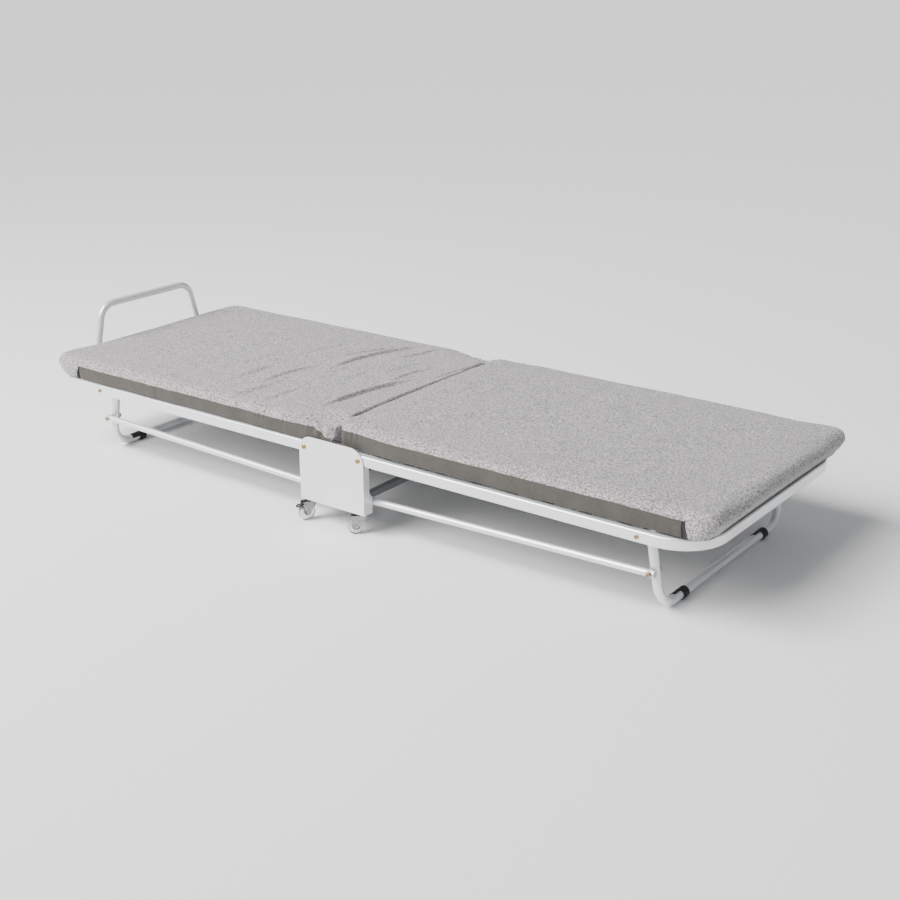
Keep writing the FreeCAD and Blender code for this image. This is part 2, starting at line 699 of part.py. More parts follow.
def build_casters():
    for name, (side, y_side, angle, braked) in casters.items():
        save(name + "_fork", [turned(fork(braked), side, y_side, angle), turned(axle(), side, y_side, angle)])
        save(name + "_wheel", turned(tyre(), side, y_side, angle))
        save(name + "_hub", turned(hub(), side, y_side, angle))
        if braked:
            save(name + "_brake_pedal", turned(pedal(), side, y_side, angle))


os.makedirs("parts", exist_ok=True)
build_trolley()
build_half("head", HEAD)
build_half("foot", FOOT)
save("head_handle", head_handle())
build_casters()
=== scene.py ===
import math

import bpy
import bmesh
import numpy as np
from bpy.props import EnumProperty, FloatProperty, FloatVectorProperty, PointerProperty
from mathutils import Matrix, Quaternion, Vector, noise


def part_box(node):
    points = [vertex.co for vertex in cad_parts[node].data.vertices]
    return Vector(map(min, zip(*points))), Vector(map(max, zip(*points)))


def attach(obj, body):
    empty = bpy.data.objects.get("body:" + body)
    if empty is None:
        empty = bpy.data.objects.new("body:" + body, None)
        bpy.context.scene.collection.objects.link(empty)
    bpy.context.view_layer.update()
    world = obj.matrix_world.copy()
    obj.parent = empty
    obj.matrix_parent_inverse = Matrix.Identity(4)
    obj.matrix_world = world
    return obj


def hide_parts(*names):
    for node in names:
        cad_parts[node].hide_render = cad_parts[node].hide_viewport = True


bl_info = {
    "name": "Folding cot",
    "version": (1, 0, 0),
    "blender": (4, 5, 0),
    "location": "View3D > Sidebar > Cot",
    "description": "Finishes and padding for a wheeled folding cot",
    "category": "Object",
}

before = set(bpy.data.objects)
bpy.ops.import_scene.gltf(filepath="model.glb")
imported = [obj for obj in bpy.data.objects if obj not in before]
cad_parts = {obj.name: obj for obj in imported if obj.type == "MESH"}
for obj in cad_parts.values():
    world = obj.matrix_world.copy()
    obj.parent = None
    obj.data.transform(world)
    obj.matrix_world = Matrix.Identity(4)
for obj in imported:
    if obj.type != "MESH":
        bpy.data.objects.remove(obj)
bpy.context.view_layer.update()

HALVES = {"head": -1.0, "foot": 1.0}
SIDES = {"near": -1.0, "far": 1.0}
CASTERS = ("head_near", "foot_near", "head_far", "foot_far")
BRAKED = ("head_near", "head_far")
# Distances from the fold of the two stitched rows where the head half's side strips lap.
LAP_ROWS = (0.582, 0.601)


def mattress_middle():
    """X of the line where the two mattress halves meet."""
    return (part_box("head_mattress")[1][0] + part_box("foot_mattress")[0][0]) / 2


def colour(name, description, default):
    """A colour property."""
    return FloatVectorProperty(name=name, description=description, default=default, size=3,
                               subtype="COLOR", min=0.0, max=1.0)


def length(name, description, default):
    """A length property, in metres."""
    return FloatProperty(name=name, description=description, default=default, unit="LENGTH", precision=4)


# ---- Settings -------------------------------------------------------------------------
class CotMattressSettings(bpy.types.PropertyGroup):
    """Sizes and colours of the two mattress halves."""

    width: length("Width", "Width of the mattress over its boxing", 0.660)
    cell: length("Cell", "Spacing of the mesh before it is subdivided", 0.0090)
    fine_cell: length("Fine cell", "The same along the cot where the wrinkles are", 0.0044)
    crown: length("Crown", "How much the middle stands above the edges", 0.0045)
    edge_height: length("Edge height", "Height of the top edge above the underside", 0.0560)
    roll: length("Roll", "How far in from the side the top begins to roll over", 0.026)
    fold_roll: length("Fold roll", "The same at the fold, where the edge is crisper", 0.0045)
    drop: length("Drop", "How far the top cloth rolls down over the boxing", 0.015)
    corner: length("Corner", "Plan radius of the top sheet's corners, inside the roll", 0.010)
    fold_corner: length("Fold corner", "The same at the fold of the foot half", 0.026)
    fold_drop: length("Fold drop", "How far the top edge rolls down at the fold", 0.0060)
    fold_gap: length("Fold gap", "Half the gap between the two halves at the fold", 0.0006)
    tuck_width: length("Tuck width", "Width of the folded tucks at the ends of the boxing", 0.013)
    tuck_depth: length("Tuck depth", "Depth of the folded tucks", 0.006)
    end_bulge: length("End bulge", "How far the head end swells out at its near corner", 0.020)
    pressure: FloatProperty(name="Pressure", description="Pressure that fills the padding", default=3.0)
    swell: length("Swell", "The most that the padding may swell", 0.004)
    wrinkle: FloatProperty(name="Wrinkle", description="Height of the wrinkles, as a factor", default=1.45)
    stitch: length("Stitch", "Length of a stitch", 0.0036)
    stitch_pitch: length("Stitch pitch", "From one stitch to the next", 0.0050)
    thread_width: length("Thread", "Thickness of the sewing thread", 0.0009)
    top_light: colour("Top, light yarn", "Light yarn of the heather top cloth", (0.480, 0.462, 0.458))
    top_dark: colour("Top, dark yarn", "Dark yarn of the heather top cloth", (0.135, 0.130, 0.137))
    boxing: colour("Boxing", "Plain cloth of the side strips", (0.066, 0.061, 0.055))
    # Near-black cloth in the tucks is painted shadow of the fold; the sunk pocket itself is real geometry.
    tuck_shadow: colour("Lining", "Dark cloth inside the tucks", (0.020, 0.019, 0.020))
    thread: colour("Thread", "Sewing thread", (0.085, 0.080, 0.074))


class CotMetalSettings(bpy.types.PropertyGroup):
    """Colours of the metal and plastic parts."""

    paint: colour("Paint", "Powder coat of the frames, legs, links and plates", (0.82, 0.84, 0.87))
    paint_rough: FloatProperty(name="Paint roughness", description="Roughness of the powder coat", default=0.34)
    weld: length("Weld", "Width of the weld beads", 0.0040)
    # The cross tubes' dark paint is painted shade: it stands in for the shadow they sit in between the side
    # plates.
    shaded_tube: colour("Cross tubes", "Dark paint of the trolley's cross tubes", (0.20, 0.215, 0.235))
    yellow_zinc: colour("Yellow zinc", "Plating of the bolt heads", (0.50, 0.34, 0.17))
    zinc: colour("Zinc", "Plating of nuts, studs and forks", (0.62, 0.63, 0.64))
    black: colour("Black", "Black plastic and paint", (0.022, 0.022, 0.024))
    rubber: colour("Rubber", "Rubber feet", (0.014, 0.014, 0.015))
    hub: colour("Hub", "Grey plastic hubs", (0.11, 0.115, 0.12))
    wheel: colour("Wheel", "Clear wheels", (0.80, 0.83, 0.85))


class CotStageSettings(bpy.types.PropertyGroup):
    """Camera, floor and lights."""

    camera: FloatVectorProperty(name="Camera", description="Place of the camera", size=3, subtype="XYZ",
                                default=(2.0264, -2.5695, 1.2910))
    forward: FloatVectorProperty(name="Forward", description="Direction the camera looks in", size=3,
                                 subtype="DIRECTION", default=(-0.5634, 0.7505, -0.3455))
    roll: FloatProperty(name="Roll", description="Roll of the camera, in degrees", default=-0.23)
    lens: FloatProperty(name="Lens", description="Focal length on a 36 mm sensor", default=56.91)
    sun: FloatProperty(name="Window light", description="Strength of the broad even light", default=4.9)
    key: FloatProperty(name="Key light", description="Power of the soft light by the head, in watts",
                       default=150.0)
    sky: FloatProperty(name="Sky", description="Strength of the plain surround", default=0.38)
    floor: colour("Floor", "Colour of the floor", (0.93, 0.93, 0.93))


# ---- Shader maths ---------------------------------------------------------------------
class Signal:
    """A number from a shader node; arithmetic on it adds Math nodes."""

    def __init__(self, finish, socket):
        self.finish = finish
        self.socket = socket

    def maths(self, operation, *values):
        return self.finish.node("ShaderNodeMath", {"operation": operation}, dict(enumerate(values)))

    def __add__(self, other):
        return self.maths("ADD", self, other)

    __radd__ = __add__

    def __sub__(self, other):
        return self.maths("SUBTRACT", self, other)

    def __rsub__(self, other):
        return self.maths("SUBTRACT", other, self)

    def __mul__(self, other):
        return self.maths("MULTIPLY", self, other)

    __rmul__ = __mul__

    def clamped(self, low, high):
        """Rises from 0 to 1 between low and high."""
        return self.finish.node("ShaderNodeMapRange", {"interpolation_type": "SMOOTHSTEP"},
                                {"Value": self, "From Min": low, "From Max": high})


class Finish:
    """A material being built round one Principled shader."""

    def __init__(self, name, **constants):
        self.material = bpy.data.materials.new(name)
        self.material.use_nodes = True
        self.tree = self.material.node_tree
        self.shader = self.tree.nodes["Principled BSDF"]
        for socket, value in constants.items():
            target = self.shader.inputs[socket.replace("_", " ")]
            target.default_value = (*value, 1.0) if target.type == "RGBA" else value
        self.place = None

    def node(self, kind, settings=None, inputs=None, output=0):
        """Adds a node, sets it up, fills its sockets, and returns one of its outputs."""
        made = self.tree.nodes.new(kind)
        for key, value in (settings or {}).items():
            setattr(made, key, value)
        for key, value in (inputs or {}).items():
            target = made.inputs[key]
            if isinstance(value, Signal):
                self.tree.links.new(value.socket, target)
            elif target.type == "RGBA" and len(value) == 3:
                target.default_value = (*value, 1.0)
            else:
                target.default_value = value
        return Signal(self, made.outputs[output])

    def feed(self, socket, signal):
        """Links a signal to a socket of the Principled shader."""
        self.tree.links.new(signal.socket, self.shader.inputs[socket])

    def at(self, scale=(1.0, 1.0, 1.0)):
        """Object coordinates, stretched."""
        if self.place is None:
            self.place = self.node("ShaderNodeTexCoord", output="Object")
        if scale == (1.0, 1.0, 1.0):
            return self.place
        return self.node("ShaderNodeMapping", None, {"Vector": self.place, "Scale": scale})

    def noise(self, size, detail=2.0, roughness=0.5, stretch=(1.0, 1.0, 1.0)):
        """A cloudy pattern with features of one size, in metres."""
        return self.node("ShaderNodeTexNoise", None, {"Vector": self.at(stretch), "Scale": 1.0 / size,
                                                     "Detail": detail, "Roughness": roughness})

    def blend(self, factor, first, second, mode="MIX"):
        """Mixes two colours, each a link or three numbers."""
        return self.node("ShaderNodeMix", {"data_type": "RGBA", "blend_type": mode},
                         {0: factor, 6: first, 7: second}, output=2)

    def bump(self, height, distance, strength=1.0):
        """Feeds the normal from a height pattern."""
        normal = self.node("ShaderNodeBump", None,
                           {"Height": height, "Distance": distance, "Strength": strength})
        self.feed("Normal", normal)


def scaled(base, factor):
    """A colour made lighter or darker."""
    return tuple(min(1.0, channel * factor) for channel in base)


def powder_coat(name, base, rough):
    """Satin powder coat: faint orange peel and a little unevenness."""
    finish = Finish(name, Metallic=0.50, IOR=1.5)
    cloud = finish.noise(0.11, 3.0)
    finish.feed("Base Color", finish.blend(cloud.clamped(0.35, 0.65), scaled(base, 0.965), scaled(base, 1.02)))
    finish.feed("Roughness", finish.noise(0.02, 2.0) * 0.10 + (rough - 0.05))
    finish.bump(finish.noise(0.0021, 2.0, 0.55), 0.00006)
    return finish.material


def plated(name, base, rough, tint):
    """Zinc plating, with the uneven colour of the passivation."""
    finish = Finish(name, Metallic=1.0)
    patches = finish.noise(0.004, 3.0).clamped(0.35, 0.68)
    finish.feed("Base Color", finish.blend(patches, base, tint))
    finish.feed("Roughness", finish.noise(0.0015, 2.0) * 0.18 + (rough - 0.09))
    finish.bump(finish.noise(0.0007, 2.0), 0.00003)
    return finish.material


def moulded(name, base, rough, grain):
    """Moulded plastic or rubber with a fine grain."""
    finish = Finish(name, Metallic=0.0)
    cloud = finish.noise(0.012, 3.0).clamped(0.3, 0.7)
    finish.feed("Base Color", finish.blend(cloud, scaled(base, 0.85), scaled(base, 1.18)))
    finish.feed("Roughness", finish.noise(0.003, 2.0) * 0.16 + (rough - 0.08))
    finish.bump(finish.noise(grain, 2.0), grain * 0.08)
    return finish.material


def clear_wheel(name, base):
    """Clear polyurethane, a little cloudy from use."""
    finish = Finish(name, Metallic=0.0, IOR=1.45, Transmission_Weight=0.88, Coat_Weight=0.2)
    haze = finish.noise(0.006, 3.0).clamped(0.3, 0.7)
    finish.feed("Base Color", finish.blend(haze, scaled(base, 0.94), base))
    finish.feed("Roughness", finish.noise(0.002, 2.0) * 0.08 + 0.04)
    finish.bump(finish.noise(0.0012, 1.0), 0.00003)
    return finish.material


def heather(name, light, dark):
    """Heather cloth: light and dark yarns crossing, with flecks and slubs."""
    finish = Finish(name, Metallic=0.0, Sheen_Weight=0.25, Sheen_Roughness=0.5, Roughness=0.92,
                    Specular_IOR_Level=0.25)
    along = finish.noise(0.0024, 2.0, 0.6, (0.35, 1.6, 1.0))
    across = finish.noise(0.0024, 2.0, 0.6, (1.6, 0.35, 1.0))
    fleck = finish.noise(0.0036, 3.0, 0.65)
    cloud = finish.noise(0.05, 3.0)
    yarn = (along * 0.30 + across * 0.24 + fleck * 0.66).clamped(0.50, 0.70)
    mixed = finish.blend(yarn, dark, light)
    flecked = finish.blend(fleck.clamped(0.57, 0.68) * 0.45, mixed, scaled(light, 1.30))
    uneven = finish.blend(cloud.clamped(0.30, 0.70), (0.94, 0.94, 0.945), (1.0, 1.0, 1.0))
    finish.feed("Base Color", finish.blend(1.0, flecked, uneven, "MULTIPLY"))
    warp = finish.node("ShaderNodeTexWave", {"bands_direction": "X"}, {"Vector": finish.at(), "Scale": 210.0,
                                                                       "Distortion": 1.2, "Detail Scale": 2.0})
    weft = finish.node("ShaderNodeTexWave", {"bands_direction": "Y"}, {"Vector": finish.at(), "Scale": 210.0,
                                                                       "Distortion": 1.2, "Detail Scale": 2.0})
    finish.bump(warp * 0.3 + weft * 0.3 + along * 0.5 + across * 0.4, 0.00035)
    return finish.material


def plain_cloth(name, base):
    """Plain close-woven cloth with upright ribs."""
    finish = Finish(name, Metallic=0.0, Sheen_Weight=0.12, Sheen_Roughness=0.5, Specular_IOR_Level=0.25)
    streak = finish.noise(0.0022, 2.0, 0.6, (1.5, 1.5, 0.10))
    cloud = finish.noise(0.035, 3.0)
    tone = (streak * 0.6 + cloud * 0.5).clamped(0.35, 0.75)
    finish.feed("Base Color", finish.blend(tone, scaled(base, 0.86), scaled(base, 1.14)))
    finish.feed("Roughness", cloud * 0.12 + 0.78)
    rib = finish.node("ShaderNodeTexWave", {"bands_direction": "X"}, {"Vector": finish.at(), "Scale": 190.0,
                                                                      "Distortion": 0.8})
    finish.bump(rib * 0.4 + streak * 0.6, 0.00025)
    return finish.material


def dress(material, *nodes):
    """Gives CAD nodes one material."""
    for name in nodes:
        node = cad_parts[name]
        for slot in node.material_slots:
            slot.material = material


# ---- Mesh helpers ---------------------------------------------------------------------
def linked(name, data):
    """An object that shows some data, linked to the scene."""
    made = bpy.data.objects.new(name, data)
    bpy.context.scene.collection.objects.link(made)
    return made


def new_piece(name, vertices, faces, edges=()):
    """A mesh object at the origin, linked to the scene."""
    mesh = bpy.data.meshes.new(name)
    mesh.from_pydata(vertices, edges, faces)
    mesh.update()
    return linked(name, mesh)


def points_of(mesh):
    """A mesh's points as rows of a table."""
    flat = np.empty(len(mesh.vertices) * 3)
    mesh.vertices.foreach_get("co", flat)
    return flat.reshape(-1, 3)


def set_points(mesh, points):
    """Puts a table of points back in a mesh."""
    mesh.vertices.foreach_set("co", np.asarray(points).ravel())
    mesh.update()


def bake_modifiers(piece):
    """Turns a piece into the plain mesh that its modifiers give, and removes them."""
    evaluated = piece.evaluated_get(bpy.context.evaluated_depsgraph_get())
    mesh = bpy.data.meshes.new_from_object(evaluated)
    piece.modifiers.clear()
    piece.data = mesh
    mesh.name = piece.name


def smooth_step(value, low, high):
    """0 below low, 1 above high, and an even rise between."""
    t = np.clip((value - low) / (high - low), 0.0, 1.0)
    return t * t * (3.0 - 2.0 * t)


# ---- Mattress -------------------------------------------------------------------------
class Pad:
    """One mattress half as a grid: two sheets joined by rings down the sides."""

    RINGS = 12
    SEAM_RING = 4
    NOSE_RING = 5
    HEM_RING = 8
    UNDERSIDE_RING = 10
    HEM = 0.008
    SEAM_PINCH = 0.0014
    NOSE = 0.60
    TUCK_FROM_END = {"head": 0.086, "foot": 0.072}
    WRINKLED_TO = {"head": 0.455, "foot": 0.285}

    def __init__(self, half, settings):
        self.half = half
        self.sign = HALVES[half]
        self.settings = settings
        low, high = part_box(half + "_mattress")
        self.base = low[2]
        self.fold = mattress_middle() + self.sign * settings.fold_gap
        self.end = high[0] if self.sign > 0 else low[0]
        self.span = abs(self.end - self.fold)
        self.wide = settings.width / 2
        self.tuck = self.span - self.TUCK_FROM_END[half]
        self.fixed = []
        self.columns = self.column_places()
        self.rows = np.linspace(-1.0, 1.0, int(2 * self.wide / settings.cell) + 1)

    def column_places(self):
        """Distances from the fold of the grid's columns, with three at the tuck."""
        s = self.settings
        first, last = s.fold_roll, self.span - s.roll
        opened = self.tuck + s.tuck_width
        wrinkled = self.WRINKLED_TO[self.half]
        fine = np.linspace(first, wrinkled, int((wrinkled - first) / s.fine_cell) + 1)[:-1]
        before = np.linspace(wrinkled, self.tuck, int((self.tuck - wrinkled) / s.cell) + 1)
        before = np.concatenate([fine, before])
        middle = [self.tuck + s.tuck_width / 2, opened]
        after = np.linspace(opened, last, max(3, int((last - opened) / s.cell)))[1:]
        return np.concatenate([before, middle, after])

    def plan(self):
        """The inset sheet's points: distance from the fold, and distance across."""
        half_wide = self.wide - self.settings.roll
        along, across = np.meshgrid(self.columns, self.rows * half_wide, indexing="ij")
        first, last = self.columns[0], self.columns[-1]
        s = self.settings
        at_fold = s.fold_corner if self.half == "foot" else s.corner
        ends = ((first, -1.0, at_fold), (last, 1.0, s.corner))
        for edge, direction, radius in ends:
            u = np.clip(((along - edge) * direction + radius) / radius, 0.0, 1.0)
            v = np.clip((np.abs(across) - half_wide + radius) / radius, 0.0, 1.0)
            here = (u > 0.0) & (v > 0.0)
            along = np.where(here, edge - direction * radius * (1.0 - u * np.sqrt(1.0 - v * v / 2.0)), along)
            pulled = half_wide - radius * (1.0 - v * np.sqrt(1.0 - u * u / 2.0))
            across = np.where(here, np.sign(across) * pulled, across)
        return along, across

    def rim(self):
        """The grid's outside cells in order, as pairs of indices."""
        m, n = len(self.columns), len(self.rows)
        around = [(i, 0) for i in range(m)] + [(m - 1, j) for j in range(1, n)]
        around += [(i, n - 1) for i in range(m - 2, -1, -1)] + [(0, j) for j in range(n - 2, 0, -1)]
        return around

    def outward(self, along, across, around):
        """The outward direction, in plan, at each point of the rim."""
        loop = np.array([(along[i, j], across[i, j]) for i, j in around])
        tangent = np.roll(loop, -1, axis=0) - np.roll(loop, 1, axis=0)
        tangent /= np.linalg.norm(tangent, axis=1)[:, None]
        normal = np.stack([tangent[:, 1], -tangent[:, 0]], axis=1)
        for _ in range(2):
            normal = normal + np.roll(normal, 1, axis=0) + np.roll(normal, -1, axis=0)
            normal /= np.linalg.norm(normal, axis=1)[:, None]
        return loop, normal

    def seam_drop(self, along):
        """How far below the top edge the seam lies. By the head half's fold the top cloth wraps right down."""
        s = self.settings
        if self.half == "foot":
            return s.drop + 0.001
        level = s.drop + 0.006
        wrap = 1.0 - smooth_step(along, 0.008, 0.070)
        return level + (s.edge_height - 0.011 - level) * wrap ** 1.5

    def boxed(self, k, drop, reach):
        """Ring k's reach and height on a side with boxing."""
        top, hem = self.settings.edge_height, self.HEM
        if k <= self.SEAM_RING:
            turn = math.radians(90.0 * k / self.SEAM_RING)
            pinch = self.SEAM_PINCH if k == self.SEAM_RING else 0.0
            return reach * math.sin(turn) - pinch, top - drop * (1.0 - math.cos(turn))
        if k <= self.HEM_RING:
            part = (k - self.SEAM_RING) / (self.HEM_RING - self.SEAM_RING)
            swollen = 0.0024 * math.sin(math.pi * part) - 0.0010
            return reach + swollen, (top - drop) * (1.0 - part) + hem * part
        if k < self.UNDERSIDE_RING:
            return reach - hem * 0.3, hem * 0.3
        if k == self.UNDERSIDE_RING:
            return reach - hem, 0.0
        return (reach - hem) / 2, 0.0

    def rolled(self, k):
        """Ring k's reach and height on an end, where the top cloth wraps right round and tucks under."""
        s = self.settings
        if k <= self.NOSE_RING:
            turn = math.radians(90.0 * k / self.NOSE_RING)
            above = (1.0 - self.NOSE) * math.cos(turn) ** 0.9
            return s.roll * math.sin(turn) ** 0.80, s.edge_height * (self.NOSE + above)
        part = (k - self.NOSE_RING) / 6.6
        return s.roll * (1.0 - 0.98 * part ** 1.25), s.edge_height * self.NOSE * (1.0 - part)

    def end_reach(self, across):
        """How much further out the head end lies: most at the near corner, clear of the handle's posts."""
        if self.half == "foot":
            return np.zeros_like(across)
        beside = smooth_step(-across, 0.196, 0.275)
        return self.settings.end_bulge * (0.28 + 0.72 * beside)

    def crown(self, along, across):
        """Height of the top sheet above its edges."""
        s = self.settings
        u = np.clip((along - self.columns[0]) / (self.columns[-1] - self.columns[0]), 0.0, 1.0)
        v = np.clip(np.abs(across) / (self.wide - s.roll), 0.0, 1.0)
        at_fold = 0.55 + 0.45 * smooth_step(u, 0.0, 0.10)
        return s.crown * at_fold * (1.0 - u ** 12) * (1.0 - v ** 4)

    def build(self):
        """Makes the mesh and sorts its faces by cloth."""
        s = self.settings
        along, across = self.plan()
        around = self.rim()
        loop, normal = self.outward(along, across, around)
        m, n = len(self.columns), len(self.rows)
        top_z = s.edge_height + self.crown(along, across)
        points = np.stack([along, across, top_z], axis=-1).reshape(-1, 3).tolist()
        faces, cloths = [], []
        for i in range(m - 1):
            for j in range(n - 1):
                faces.append((i * n + j, (i + 1) * n + j, (i + 1) * n + j + 1, i * n + j + 1))
                cloths.append(0)
        previous = [i * n + j for i, j in around]
        count = len(around)
        outer = smooth_step(normal[:, 0], 0.45, 0.85)
        at_fold = smooth_step(-normal[:, 0], 0.10, 0.90)
        reaches = s.roll * (1.0 - at_fold) + s.fold_roll * at_fold
        drops = self.seam_drop(loop[:, 0]) * (1.0 - at_fold) + s.fold_drop * at_fold
        tucked = self.tuck_columns(around)
        for k in range(1, self.RINGS):
            boxed, rolled = self.boxed(k, drops, reaches), self.rolled(k)
            reach = boxed[0] * (1.0 - outer) + rolled[0] * outer
            height = boxed[1] * (1.0 - outer) + rolled[1] * outer
            extra = self.end_reach(loop[:, 1]) * outer * math.sin(math.pi * k / self.RINGS) ** 0.5
            ring = loop + normal * (reach + extra)[:, None]
            ring = self.shape_tucks(ring, normal, tucked, k)
            start = len(points)
            points += np.column_stack([ring, height]).tolist()
            for a in range(count):
                b = (a + 1) % count
                faces.append((previous[a], start + a, start + b, previous[b]))
                cloths.append(self.cloth_at(k, a, b, loop, normal, tucked))
            previous = [start + a for a in range(count)]
        start = len(points)
        points += np.stack([along, across, np.zeros_like(along)], axis=-1).reshape(-1, 3).tolist()
        last = [start + i * n + j for i, j in around]
        for a in range(count):
            b = (a + 1) % count
            faces.append((previous[a], last[a], last[b], previous[b]))
            cloths.append(1)
        for i in range(m - 1):
            for j in range(n - 1):
                faces.append((start + i * n + j, start + i * n + j + 1, start + (i + 1) * n + j + 1,
                              start + (i + 1) * n + j))
                cloths.append(1)
        placed = np.array(points)
        placed[:, 0] = self.fold + self.sign * placed[:, 0]
        placed[:, 2] += self.base
        if self.sign < 0:
            faces = [tuple(reversed(face)) for face in faces]
        piece = new_piece(self.half + "_mattress_pad", placed.tolist(), faces)
        piece.data.polygons.foreach_set("material_index", cloths)
        self.fixed = list(range(start, len(points)))
        self.flip_outward(piece)
        return piece

    def flip_outward(self, piece):
        """Makes every face point outwards."""
        mesh = bmesh.new()
        mesh.from_mesh(piece.data)
        bmesh.ops.recalc_face_normals(mesh, faces=mesh.faces)
        mesh.to_mesh(piece.data)
        mesh.free()

    def tuck_columns(self, around):
        """The rim's places at the tuck's edge, pocket and hem."""
        first = int(np.argmin(np.abs(self.columns - self.tuck)))
        n = len(self.rows)
        return {a: i - first for a, (i, j) in enumerate(around) if j in (0, n - 1) and i - first in (0, 1, 2)}

    def shape_tucks(self, ring, normal, tucked, k):
        """Narrows the tucks towards the top and sinks their pockets."""
        s = self.settings
        if k < self.SEAM_RING:
            return ring
        open_share = min((k - self.SEAM_RING) / 5.0, 1.0)
        for a, step in tucked.items():
            ring[a, 0] = self.tuck + s.tuck_width * step / 2 * open_share
            sink = (0.0, -s.tuck_depth, 0.0015)[step] * min(open_share * 2.0, 1.0)
            ring[a] += normal[a] * sink
        return ring

    def cloth_at(self, k, a, b, loop, normal, tucked):
        """0 for the top cloth, 1 for the boxing, 2 for the near-black cloth that paints the shadow inside the
        tucks.
        """
        below_seam = k > self.SEAM_RING
        # The tuck pockets get the near-black cloth as painted shadow of the fold.
        if below_seam and a in tucked and b in tucked:
            return 2
        inside = loop[a, 0] <= self.tuck + 1e-6 and loop[b, 0] <= self.tuck + 1e-6
        if below_seam and inside and abs(normal[a, 0]) < 0.45:
            return 1
        return 1 if k > self.UNDERSIDE_RING else 0


def swell(piece, fixed, pressure, most, last_frame=20):
    """Fills a pad with a cloth simulation and keeps each point near its place."""
    rest = points_of(piece.data)
    group = piece.vertex_groups.new(name="resting")
    group.add(fixed, 1.0, "REPLACE")
    cloth = piece.modifiers.new("Padding", "CLOTH")
    values = {"quality": 6, "mass": 0.3, "tension_stiffness": 20.0, "compression_stiffness": 20.0,
              "shear_stiffness": 8.0, "bending_stiffness": 2.0, "use_pressure": True,
              "uniform_pressure_force": pressure, "vertex_group_mass": "resting"}
    for key, value in values.items():
        setattr(cloth.settings, key, value)
    cloth.settings.effector_weights.gravity = 0.0
    cloth.point_cache.frame_start = 1
    cloth.point_cache.frame_end = last_frame
    for step in range(1, last_frame + 1):
        bpy.context.scene.frame_set(step)
    evaluated = piece.evaluated_get(bpy.context.evaluated_depsgraph_get())
    moved = points_of(evaluated.data)
    piece.modifiers.remove(cloth)
    piece.vertex_groups.clear()
    bpy.context.scene.frame_set(1)
    move = (moved - rest) * np.array((0.2, 0.5, 1.0))
    size = np.linalg.norm(move, axis=1)[:, None]
    set_points(piece.data, rest + move * np.minimum(1.0, most / np.maximum(size, 1e-9)))


# Each wrinkle of the top cloth, in metres: where it starts and stops across the cot, its distance
# from the fold at either end, how far it bows away from the fold between them, its height, its width.
WRINKLES = {
    "head": (
        (-0.26, 0.04, 0.095, 0.050, 0.015, 0.0040, 0.0048),
        (-0.04, 0.30, 0.275, 0.210, 0.025, 0.0034, 0.0048),
        (-0.23, 0.01, 0.330, 0.310, 0.020, 0.0022, 0.0052),
        (0.06, 0.25, 0.330, 0.260, 0.005, 0.0018, 0.0042),
        (0.14, 0.29, 0.205, 0.170, -0.010, 0.0020, 0.0044),
        (-0.02, 0.14, 0.085, 0.070, 0.010, 0.0018, 0.0042),
        (0.06, 0.20, 0.020, 0.005, 0.005, 0.0014, 0.0040),
        (0.00, 0.17, 0.140, 0.120, 0.010, 0.0012, 0.0070),
        (-0.33, -0.19, 0.340, 0.305, -0.005, 0.0026, 0.0080),
        (-0.32, -0.17, 0.260, 0.235, -0.010, 0.0020, 0.0080),
        (-0.24, -0.07, 0.425, 0.420, -0.005, 0.0022, 0.0085),
        (-0.13, 0.05, 0.500, 0.490, -0.010, 0.0014, 0.0090),
        (0.02, 0.20, 0.430, 0.385, 0.000, 0.0014, 0.0080),
        (-0.12, 0.05, 0.205, 0.195, -0.010, 0.0013, 0.0080),
    ),
    "foot": (
        (-0.06, 0.11, 0.075, 0.120, -0.005, 0.0015, 0.0045),
        (-0.03, 0.13, 0.160, 0.180, 0.000, 0.0013, 0.0045),
        (0.08, 0.23, 0.050, 0.080, -0.005, 0.0012, 0.0045),
        (0.06, 0.22, 0.240, 0.260, 0.005, 0.0009, 0.0070),
        (-0.19, -0.04, 0.050, 0.055, 0.005, 0.0009, 0.0070),
    ),
}


def ridge(along, across, wrinkle):
    """Height of one wrinkle: a bowed ridge, gentle away from the fold, with a valley on the side towards it."""
    start, stop, start_from_fold, stop_from_fold, bow, height, width = wrinkle
    t = (across - start) / (stop - start)
    on_path = np.clip(t, 0.0, 1.0)
    straight = start_from_fold + (stop_from_fold - start_from_fold) * on_path
    line = straight + 4.0 * bow * on_path * (1.0 - on_path)
    side = along - line
    fade = smooth_step(t, -0.06, 0.30) * (1.0 - smooth_step(t, 0.68, 1.06))
    crest = np.exp(-(side / np.where(side > 0.0, 2.2 * width, width)) ** 2)
    valley = 0.75 * np.exp(-((side + 1.7 * width) / (1.2 * width)) ** 2)
    return height * fade * (crest - valley)


